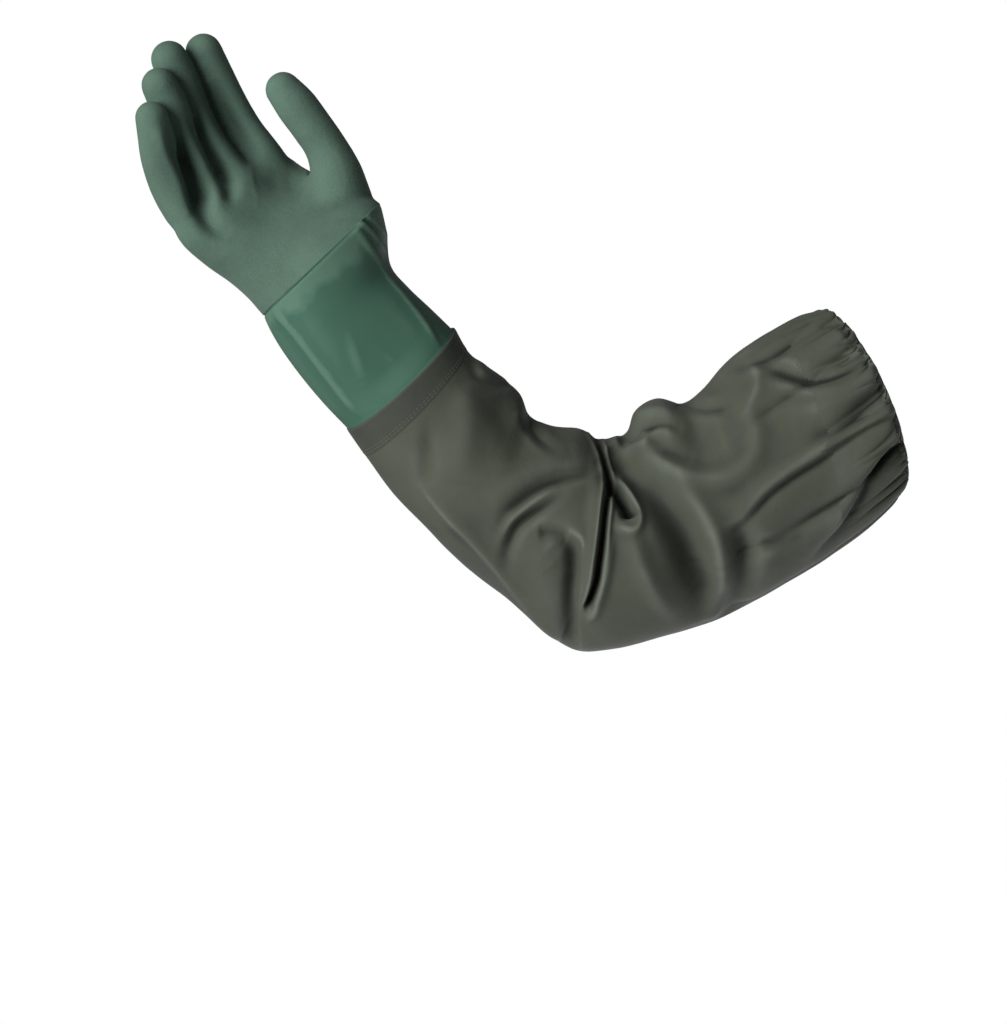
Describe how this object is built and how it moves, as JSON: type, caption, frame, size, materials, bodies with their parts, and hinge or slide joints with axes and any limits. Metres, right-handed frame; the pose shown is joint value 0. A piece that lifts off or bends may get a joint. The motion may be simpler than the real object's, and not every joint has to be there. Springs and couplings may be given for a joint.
{
  "type": "long rubber glove with a cloth sleeve",
  "caption": "Long dipped work glove for the right hand, worn form, with curled fingers, smooth gauntlet and a coated cloth sleeve bent at the elbow up to a gathered arm opening.",
  "frame": {"origin": "middle of the arm opening, where the upper arm goes in", "axes": "+Z along the forearm towards the fingertips, +X out of the arm opening, -Y the palm side"},
  "size_m": [0.3195, 0.1406, 0.5225],
  "materials": {
    "rough_dip": "matt sandy green second dip",
    "smooth_dip": "glossy smooth dark green dip",
    "band_cloth": "doubled coated cloth, welded flat, with a stitch line",
    "sleeve_cloth": "coated olive-grey cloth with a soft sheen",
    "tape_cloth": "dark woven seam tape"
  },
  "bodies": {
    "root": {"hand": "rough_dip", "gauntlet": "smooth_dip", "joint_band": "band_cloth", "sleeve": "sleeve_cloth", "seam_tape": "tape_cloth", "hem_casing": "sleeve_cloth"}
  },
  "joints": []
}
